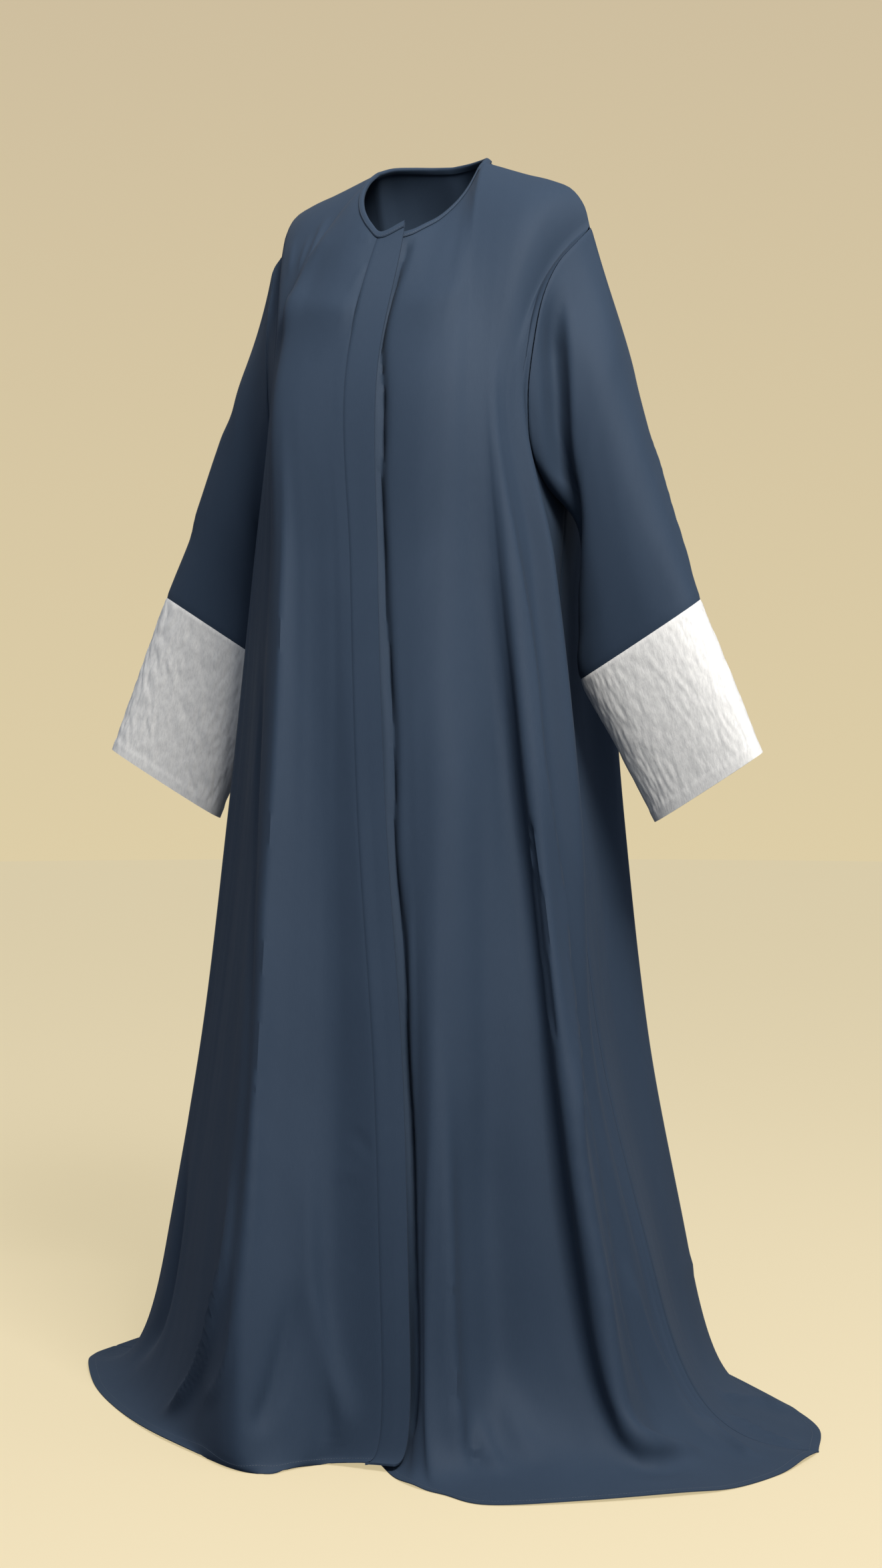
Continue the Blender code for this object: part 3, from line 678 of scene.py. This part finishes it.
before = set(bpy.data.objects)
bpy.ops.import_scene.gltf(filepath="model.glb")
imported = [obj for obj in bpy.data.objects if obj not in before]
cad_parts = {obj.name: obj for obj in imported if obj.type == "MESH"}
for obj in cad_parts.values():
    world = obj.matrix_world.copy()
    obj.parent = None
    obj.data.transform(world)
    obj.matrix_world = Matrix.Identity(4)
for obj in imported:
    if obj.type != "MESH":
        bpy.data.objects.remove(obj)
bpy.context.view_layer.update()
print("frame loaded")

crepe = crepeMaterial("crepe cloth", crepeLook)
cuffCloth = cuffMaterial("crinkled jacquard", cuffLook)
crepeThread = threadMaterial("crepe thread", crepeLook["stitch"])

left = Panel(leftFolds, (neckLeft, shoulder, armholeFront), leaveFront)
right = Panel(
    rightFolds, (neckRight, drawnShoulder(shoulder), drawnShoulder(armholeFront)),
    (leaveTip,) + mirrored(leaveFront[1:]),
)
back = Panel(
    backFolds, (neckBack, shoulder, armholeBack), leaveBack,
    (mirrored(neckBack), drawnShoulder(shoulder), drawnShoulder(armholeBack)),
)

# A crease is a line of places, then its width, height, lean, power and how it fades at each end.
frontLeft = {
    "flat": (0.60, 1.52), "share": 0.61, "seed": 11,
    "lap": (  # where the placket's edge lies over it
        (0.95, 0.03), (0.95, 0.22), (0.88, 0.49), (0.88, 0.78), (1.20, 1.19), (1.04, 1.69), (1.04, 2.02),
        (1.16, 2.43), (1.27, 2.70), (1.00, 3.20), (1.10, 3.49), (0.90, 3.99), (1.04, 4.28), (1.73, 4.80),
        (2.08, 5.07), (1.38, 5.48),
    ),
    "lapDip": (4.2, -10.0, 1.0, 1.3, 0.02, 0.02),  # shaped as a crease is
    "creases": (
        (((6.90, 1.04), (7.18, 1.87), (7.39, 2.43), (7.29, 2.83), (7.55, 3.22), (7.49, 3.74),
          (6.90, 4.40), (6.97, 4.69), (7.03, 4.96), (6.97, 5.15), (6.97, 5.31), (7.13, 5.44),
          (7.70, 5.59), (8.46, 5.73)), 10, 13.0, 1.8, 1.2, 0.3, 0.1),
        (((5.21, 1.54), (5.51, 2.43), (5.68, 2.97), (5.98, 3.74), (6.18, 4.42), (6.24, 4.82),
          (6.31, 5.05), (6.44, 5.21), (6.57, 5.34), (6.71, 5.48), (7.03, 5.61), (7.96, 5.75)),
          17, -11.0, 1.0, 2.0, 0.3, 0.06),
        (((6.90, 5.29), (7.08, 5.40), (7.55, 5.54), (8.66, 5.69)), 12, 13.0, 1.0, 1.6, 0.45, 0.3),
        (((4.12, 3.68), (4.23, 4.20), (4.29, 4.67), (4.35, 5.02), (4.41, 5.21), (4.46, 5.38),
          (4.52, 5.54), (4.58, 5.71)), 13, 16.0, 1.1, 1.7, 0.6, 0.14),
        (((4.63, 5.31), (4.69, 5.44), (4.75, 5.58), (4.75, 5.69)), 6, -6.0, 1.0, 1.7, 0.5, 0.4),
        (((4.75, 5.29), (4.81, 5.40), (4.98, 5.58), (5.15, 5.73)), 9, 6.0, 1.0, 1.7, 0.4, 0.3),
        (((5.09, 5.15), (5.21, 5.32), (5.39, 5.50), (5.57, 5.65)), 14, 6.0, 1.0, 1.9, 0.5, 0.3),
        (((4.52, 2.43), (4.46, 3.36), (4.58, 3.99), (4.69, 4.55)), 26, 6.0, 1.0, 2.0),
        (((2.22, 3.08), (1.38, 3.99), (2.08, 4.80), (2.63, 5.15), (3.70, 5.52)), 3.5, 2.2, 1.0, 1.4),
        (((4.86, 3.74), (4.92, 4.28), (4.98, 4.69), (5.09, 5.13), (5.27, 5.54)),
          20, -6.5, 1.0, 2.0, 0.55, 0.2),
        (((8.08, 3.90), (7.86, 4.57), (7.70, 4.98), (7.91, 5.25), (8.21, 5.54)), 6, 5.0, 1.0, 1.3),
        (((7.24, 4.40), (7.39, 4.76)), 5, -3.0, 1.0, 1.6),
        (((8.40, 4.80), (8.79, 5.09), (9.35, 5.32), (9.67, 5.63)), 8, 6.0, 1.0, 1.4),
        (((9.90, 5.42), (9.80, 5.61), (9.31, 5.88)), 8, 7.0, 1.0, 1.5),
        (((1.16, 0.08), (1.50, 0.10)), 1.5, 0.7, 1.0, 1.5),
        (((3.86, 0.00), (4.98, 0.27)), 1.2, 0.5, 1.0, 1.5),
        (((4.98, 0.15), (5.39, 0.22)), 1.2, 0.5, 1.0, 1.5),
        (((0.95, 0.58), (1.84, 0.63), (2.91, 0.66), (4.81, 0.75)), 22, 4.0, 1.3, 1.6, 0.5),
    ),
}
cloth = hangingCloth(left, 0, len(leftFolds) - 1, drape["frontSpacing"], frontLeft["seed"])
cloth.reachOut()
fromSide = cloth.across[:, -1:] - cloth.across
cloth.seam(fromSide, depth=1.3, width=2.8)
cloth.joinAt(fromSide)
cloth.crease(drawnOn(left, frontLeft["lap"]), *frontLeft["lapDip"])
finishPanel("front_left", left, cloth, frontLeft)

frontRight = {
    "flat": (0.66, 1.52), "share": 0.63, "seed": 23,
    "creases": (
        (((4.80, 0.24), (4.69, 0.41), (5.30, 0.58), (5.27, 0.71), (5.04, 0.85)),
          15, 6.0, 1.0, 2.0, 0.4),
        (((4.80, 1.02), (4.69, 1.52), (4.80, 2.16), (4.90, 2.91), (5.00, 3.36), (4.90, 3.74),
          (5.00, 4.15), (5.00, 4.55), (5.04, 4.96), (5.04, 5.15), (5.00, 5.34), (4.80, 5.59)),
          7, 9.5, 1.6, 1.05),
        (((6.34, 2.14), (5.87, 2.83), (5.30, 3.76), (5.27, 4.55), (5.38, 4.98)), 16, -5.0, 1.0, 2.0),
        (((3.46, 4.82), (3.71, 5.03), (4.07, 5.21), (4.38, 5.34), (4.59, 5.48)),
          10, -7.5, 1.0, 1.7, 0.5, 0.2),
        (((5.53, 4.30), (5.42, 4.84), (5.60, 5.07), (5.94, 5.29), (6.54, 5.71)),
          10, 12.0, 1.0, 1.5, 0.5, 0.2),
        (((5.19, 4.69), (5.15, 5.03), (5.30, 5.19), (5.72, 5.38)), 7, 4.0, 1.0, 1.5, 0.5),
        (((8.61, 4.30), (7.91, 4.90), (7.91, 5.15), (8.34, 5.44), (8.34, 5.73)),
          20, -10.0, 1.0, 2.0, 0.5),
        (((3.21, 4.01), (3.08, 4.55), (2.72, 5.00), (2.13, 5.17), (1.77, 5.34), (1.85, 5.50),
          (2.49, 5.69)), 13, 7.5, 1.2, 1.7, 0.55, 0.15),
        (((6.38, 0.25), (6.25, 0.39), (6.21, 0.51), (6.28, 0.61), (6.48, 0.68)), 5.0, 4.6, 1.0, 1.15),
        (((6.58, 0.36), (6.54, 0.46), (6.48, 0.56)), 4.5, 3.0, 1.0, 1.2),
        (((7.11, 0.34), (7.01, 0.44), (6.94, 0.53)), 4.2, 2.4, 1.0, 1.2),
        (((1.10, 0.26), (1.20, 0.36), (1.35, 0.50)), 3.0, 1.8, 1.0, 1.4),
        (((1.65, 0.06), (1.65, 0.17)), 1.8, 1.2, 1.0, 1.5),
        (((1.41, 0.05), (1.34, 0.14)), 1.6, 1.0, 1.0, 1.5),
        (((6.81, 0.71), (3.58, 0.69), (1.31, 0.63), (0.45, 0.64)), 26, 6.5, 1.4, 1.5, 0.3),
        (((2.01, 4.47), (1.70, 4.42), (1.31, 4.44)), 4, 1.4, 1.0, 1.5),
        (((1.70, 4.26), (1.39, 4.28), (1.15, 4.36)), 4, -1.4, 1.0, 1.5),
    ),
}
cloth = hangingCloth(
    right, placketFold, len(rightFolds) - 1, drape["frontSpacing"], frontRight["seed"],
)
cloth.reachOut()
fromSide = cloth.across[:, -1:] - cloth.across
cloth.seam(fromSide)
cloth.seam(cloth.across, depth=0.14, width=2.8)
cloth.joinAt(fromSide)
finishPanel("front_right", right, cloth, frontRight)

# the strip is double, and its outside lies level with the right front's
placket = {"flat": (0.035, 1.46), "share": 0.95, "wall": 2.2, "spacing": 1.5}
cloth = hangingCloth(right, 0, placketFold, placket["spacing"], frontRight["seed"])
cloth.push(np.full(cloth.points.shape[:2], (clothWall - placket["wall"]) / 2))
cloth.seam(cloth.across[:, -1:] - cloth.across, depth=0.7, width=1.6)
piece = clothMesh("front_placket_strip", cloth, placket["wall"], crepe)
lay(piece, "front_placket")
print("placket sewn on")

backDrape = {
    "flat": (1.00, 1.56), "share": 0.72, "seed": 37,
    "creases": (
        (((2.78, 5.03), (1.18, 5.02)), 5, 3.0, 1.0, 1.4),
        (((0.88, 5.50), (1.38, 5.85), (1.30, 5.97)), 10, 9.0, 1.0, 1.4),
        (((0.52, 5.56), (0.30, 5.75), (0.10, 5.94)), 8, 7.0, 1.0, 1.4),
        (((4.00, 1.20), (4.10, 2.50), (4.00, 3.80), (3.95, 5.20), (5.70, 5.60)), 16, 9.0, 1.0, 1.5),
        (((8.00, 1.40), (8.10, 2.60), (8.00, 3.90), (8.05, 5.30)), 15, 8.0, 1.2, 1.5),
        (((6.00, 2.20), (5.90, 3.40), (6.10, 4.40), (6.00, 5.50)), 18, 7.0, 1.0, 1.6),
        (((5.00, 1.60), (5.10, 3.00), (5.00, 5.00)), 17, -9.0, 1.0, 2.0),
        (((7.00, 1.60), (6.90, 3.00), (7.10, 5.00)), 17, -9.0, 1.0, 2.0),
        (((2.50, 2.00), (2.60, 3.40), (2.40, 5.20)), 14, 6.0, 1.0, 1.6),
        (((9.60, 2.00), (9.50, 3.60), (9.70, 5.20)), 18, 3.5, 1.0, 1.9, 0.45),
    ),
}
cloth = hangingCloth(back, 0, len(backFolds) - 1, drape["backSpacing"], backDrape["seed"])
fromSide = cloth.across[:, -1:] - cloth.across
cloth.seam(cloth.across)
cloth.seam(fromSide)
cloth.joinAt(np.minimum(cloth.across, fromSide))
finishPanel("back", back, cloth, backDrape)

sleeveDrape = {
    "around": 176, "rows": 100, "rowPower": 1.25, "ripple": 0.8,
    "left": {
        "flat": (0.44, 0.42), "share": 0.75, "seed": 51, "stations": leftStations,
        "creases": (
            (((0.60, 0.20), (1.08, 0.44), (1.62, 0.74), (2.20, 1.10), (2.51, 1.79), (2.67, 3.25)),
              13, -20.0, 1.0, 2.2),
            (((0.50, 0.23), (0.86, 0.60), (1.34, 0.95), (1.82, 1.32), (2.30, 1.90), (2.48, 3.10)),
              5, 5.0, 1.0, 1.2),
            (((-0.38, 2.64), (-0.30, 3.43), (-0.24, 4.25), (-0.20, 4.83)), 5, 3.0, 1.0, 1.3),
        ),
    },
    "right": {
        "flat": (0.44, 0.42), "share": 0.72, "seed": 57, "stations": rightStations,
        "creases": (
            (((0.61, 1.93), (0.46, 3.10), (0.36, 4.16)), 14, 4.0, 1.0, 2.0),
        ),
    },
}
cuffDrape = {
    "around": 220, "rows": 84, "hemFold": 14.0, "hemStep": 0.6, "hemSoftness": 0.9,
    "underSeamFade": 12, "seamFade": 8, "mouthFade": 10, "atMouth": 0.15,
    "left": {"crinkle": 0.55, "flat": (0.36, 0.21), "share": 1.0, "seed": 61},
    "right": {"crinkle": 0.95, "flat": (0.38, 0.21), "share": 1.0, "seed": 67},
}


def drawnAround(sleeve, pairs):
    # A line on a sleeve through a few (angle, station) pairs.
    line = SmoothLine([(angle, place, 0) for angle, place in pairs]).at(np.linspace(0, 1, 24))
    return np.array([sleeve.rings(np.array([angle]), [place])[0, 0] for angle, place, _ in line])


def onSide(cloth, turn):
    # Sleeves are shaped as if on the left; the right ones are turned over here.
    if turn < 0:
        cloth.points[..., 0] *= -1
        cloth.side *= -1


for side, turn, front, rear in (
    ("left", 1, armholeFront, armholeBack),
    ("right", -1, mirrored(drawnShoulder(armholeFront)), mirrored(drawnShoulder(armholeBack))),
):
    choice = sleeveDrape[side]
    sleeve = Sleeve(choice["stations"], front, rear)
    angles = np.linspace(-math.pi, math.pi, sleeveDrape["around"], endpoint=False)
    down = np.arange(sleeveDrape["rows"] + 1) / sleeveDrape["rows"]
    places = cuffStation * down ** sleeveDrape["rowPower"]
    points = sleeve.rings(angles, places)
    cloth = Cloth(points, points.mean(axis=1, keepdims=True), closed=True)
    turned, lengthwise = np.meshgrid(angles, places)
    u, v = np.cos(turned) * 2.2 + 40, lengthwise * 0.55 + np.sin(turned) * 1.6 + 40
    ripple = sleeveDrape["ripple"] * waves(u, v, choice["seed"])
    # no ripple at the armhole and at the cuff's seam
    ripple *= np.clip(lengthwise / 1.5, 0, 1)
    ripple *= np.clip((cuffStation - lengthwise) / 0.3, 0, 1)
    cloth.push(ripple)
    cloth.seam(cloth.down, depth=0.8, width=2.6)
    cloth.seam(cloth.down[-1:] - cloth.down, depth=0.8, width=2.0)
    for line, *shape in choice["creases"]:
        cloth.crease(drawnAround(sleeve, line), *shape)
    onSide(cloth, turn)
    piece = clothMesh("sleeve_" + side + "_cloth", cloth, clothWall, crepe)
    lay(piece, "sleeve_" + side)
    print("sleeve hung on the", side)

    choice = cuffDrape[side]
    angles = np.linspace(-math.pi, math.pi, cuffDrape["around"], endpoint=False)
    last = len(sleeveDrape[side]["stations"]) - 1
    places = np.linspace(cuffStation, last, cuffDrape["rows"] + 1)
    points = sleeve.rings(angles, places)
    cloth = Cloth(points, points.mean(axis=1, keepdims=True), closed=True)
    u, v = cloth.across, cloth.down
    # broken ridges that run along the sleeve, fine and broad ones together
    wander = 0.9 * waves(u / 40 + 50, v / 45 + 50, choice["seed"] + 2)
    crinkle = waves(u / 5.2 + v / 26 + wander + 60, v / 21 + 60, choice["seed"])
    crinkle += 0.8 * waves(u / 9.5 - v / 45 + wander + 90, v / 34 + 90, choice["seed"] + 1)
    crinkle += 0.5 * waves(u / 3.6 + v / 30 + wander + 30, v / 13 + 30, choice["seed"] + 3)
    # flat at the under seam and at the sleeve's seam, and flatter at the mouth
    underSeam = np.minimum(u, u.max(axis=1, keepdims=True) - u)
    crinkle *= np.clip(underSeam / cuffDrape["underSeamFade"], 0, 1)
    fromSeam, fromMouth = v, v[-1:] - v
    flatter = np.clip((fromMouth - 4) / cuffDrape["mouthFade"], cuffDrape["atMouth"], 1)
    crinkle *= np.clip(fromSeam / cuffDrape["seamFade"], 0, 1) * flatter
    cloth.push(choice["crinkle"] * crinkle)
    cloth.turnUp(fromMouth, cuffDrape)
    cloth.seam(fromSeam, depth=0.9, width=2.0)
    onSide(cloth, turn)
    piece = clothMesh("cuff_" + side + "_cloth", cloth, clothWall, cuffCloth)
    lay(piece, "cuff_" + side)
    print("cuff sewn on", side)

binding = {
    "flat": (0.58, 0.022), "share": 1.0, "spacing": 2.5, "wall": 0.8, "stitchAt": (6.2, 2.55),
    "profile": (
        (6.0, -1.7), (3.0, -1.9), (1.0, -1.9), (-0.7, -1.4), (-1.3, 0.1), (-0.7, 1.6), (0.9, 2.2),
        (3.0, 2.35), (5.4, 2.2), (6.9, 1.9), (7.5, 1.2),
    ),
}
# round the neck, where a place of 1 is the start of a shoulder seam
edges, ways = [], []
for panel, start, end in ((left, 0.0, 0.999), (back, 1.0, -0.999), (right, 0.999, 0.0)):
    for place in np.linspace(start, end, 60):
        edge, way = panel.edge(place)
        edges.append(edge)
        ways.append(way)
edges, ways = np.array(edges), np.array(ways)
steps = np.concatenate([[0.0], np.cumsum(np.linalg.norm(np.diff(edges, axis=0), axis=1))])
even = np.linspace(0, steps[-1], int(steps[-1] / binding["spacing"]))
edges = np.stack([np.interp(even, steps, edges[:, k]) for k in range(3)], axis=1)
ways = np.stack([np.interp(even, steps, ways[:, k]) for k in range(3)], axis=1)
for _ in range(4):  # eases the turns at the shoulder seams
    ways[1:-1] = (ways[:-2] + ways[1:-1] + ways[2:]) / 3
ways = unit(ways)
tangents = unit(np.gradient(edges, axis=0))
raises = unit(np.cross(ways, tangents))
if np.sum(raises * edges * (1, 1, 0)) < 0:
    raises = -raises
profile = SmoothLine([(reach, lift, 0) for reach, lift in binding["profile"]]).at(np.linspace(0, 1, 21))
rows = [edges + ways * reach + raises * lift for reach, lift, _ in profile]
cloth = Cloth(np.stack(rows), (edges + ways * 3)[None])
piece = clothMesh("neck_binding_cloth", cloth, binding["wall"], crepe)
across, lift = binding["stitchAt"]
sewing = stitches("neck_binding_stitches", edges + ways * across + raises * lift, raises, crepeThread)
lay(piece, "neck_binding", [sewing])
print("neck bound")

studio = {
    "azimuth": 27, "distance": 3.0, "height": 0.80, "pitch": 1.42, "yaw": 0.26, "lens": 57.54,
    "keyPlace": (1.86, -1.72, 1.75), "keyAim": (0.05, 0.0, -0.35), "keyPower": 222.0, "keySize": 1.1,
    "keyColour": (1.0, 0.965, 0.90), "skyPlace": (0.5, -0.7, 1.2), "skyStrength": 0.62, "skyAngle": 120,
    "fillAbove": (0.38, 0.43, 0.505, 1), "fillBelow": (0.12, 0.125, 0.14, 1),
    "floor": (0.17, 0.15, 0.115, 1), "floorGlow": (0.575, 0.48, 0.285, 1), "floorRadius": 12.0,
    "wallLow": (0.732, 0.619, 0.387, 1), "wallHigh": (0.60, 0.50, 0.34, 1), "wallRise": (-1.6, 4.5),
    "wallHeight": 10,
}
floorLevel = -holdHeight * 0.001


def stageSheet(name, material, hiddenFrom):
    # The shape that was added last, as the floor or the backdrop, left out of some of the light.
    bpy.ops.object.transform_apply(location=True)
    sheet = bpy.context.active_object
    sheet.name = name
    sheet.data.materials.append(material)
    for rays in hiddenFrom:
        setattr(sheet, "visible_" + rays, False)


material, shades, shader = newMaterial("floor paper")
mottle = shades.noise(shades.add("TexCoord")["Object"], 0.7, 2.0, 0.5)
shades.feed(shader, {
    "Base Color": shades.mix(mottle, studio["floor"], toned(studio["floor"], 1.04)), "Roughness": 0.85,
    "Emission Color": studio["floorGlow"], "Emission Strength": 1.0,
})
bpy.ops.mesh.primitive_circle_add(
    vertices=128, radius=studio["floorRadius"], fill_type="NGON", location=(0, 0, floorLevel),
)
stageSheet("floor", material, ("diffuse", "glossy"))  # no glare from the floor on the dark cloth

# the backdrop glows with painted light, paler low down and darker towards the top
material, shades, shader = newMaterial("backdrop painted glow")
glow = shades.mix(shades.rise("Object", *studio["wallRise"]), studio["wallLow"], studio["wallHigh"])
surface = shades.add("Emission", {"Color": glow})[0]
shades.feed(shades.nodes["Material Output"].inputs, {"Surface": surface})
shades.nodes.remove(shades.nodes["Principled BSDF"])
bpy.ops.mesh.primitive_cylinder_add(
    vertices=128, radius=studio["floorRadius"] * 0.97, depth=studio["wallHeight"],
    end_fill_type="NOTHING", location=(0, 0, studio["wallHeight"] / 2 + floorLevel),
)
bpy.ops.object.shade_smooth()
stageSheet("backdrop", material, ("diffuse", "glossy", "shadow", "transmission"))

scene = bpy.context.scene
world = bpy.data.worlds.new("studio")
world.use_nodes = True
shades = Shades(world.node_tree)
fill = shades.mix(shades.rise("Generated", -0.5, 0.5), studio["fillBelow"], studio["fillAbove"])
shades.feed(shades.nodes["Background"].inputs, {"Color": fill, "Strength": 1.0})
scene.world = world
scene.view_settings.view_transform = "Standard"
scene.view_settings.look = "None"


def addLight(name, kind, place, target, energy, **fields):
    light = bpy.data.lights.new(name, kind)
    light.energy = energy
    for field, value in fields.items():
        setattr(light, field, value)
    lamp = bpy.data.objects.new(name, light)
    scene.collection.objects.link(lamp)
    lamp.location = place
    lamp.rotation_euler = (Vector(target) - Vector(place)).to_track_quat("-Z", "Y").to_euler()


addLight(
    "softbox", "AREA", studio["keyPlace"], studio["keyAim"], studio["keyPower"],
    size=studio["keySize"], color=studio["keyColour"],
)
addLight(
    "sky", "SUN", studio["skyPlace"], (0, 0, 0), studio["skyStrength"],
    angle=math.radians(studio["skyAngle"]),
)

lens = bpy.data.cameras.new("camera")
lens.lens = studio["lens"]
lens.sensor_fit = "VERTICAL"
lens.sensor_height = 36
lens.clip_end = 60
camera = bpy.data.objects.new("camera", lens)
scene.collection.objects.link(camera)
aside, distance = math.radians(studio["azimuth"]), studio["distance"]
camera.location = (
    math.sin(aside) * distance, -math.cos(aside) * distance, studio["height"] + floorLevel,
)
camera.rotation_euler = (
    math.radians(90 - studio["pitch"]), 0, math.radians(studio["azimuth"] - studio["yaw"]),
)
scene.camera = camera
print("stage set")
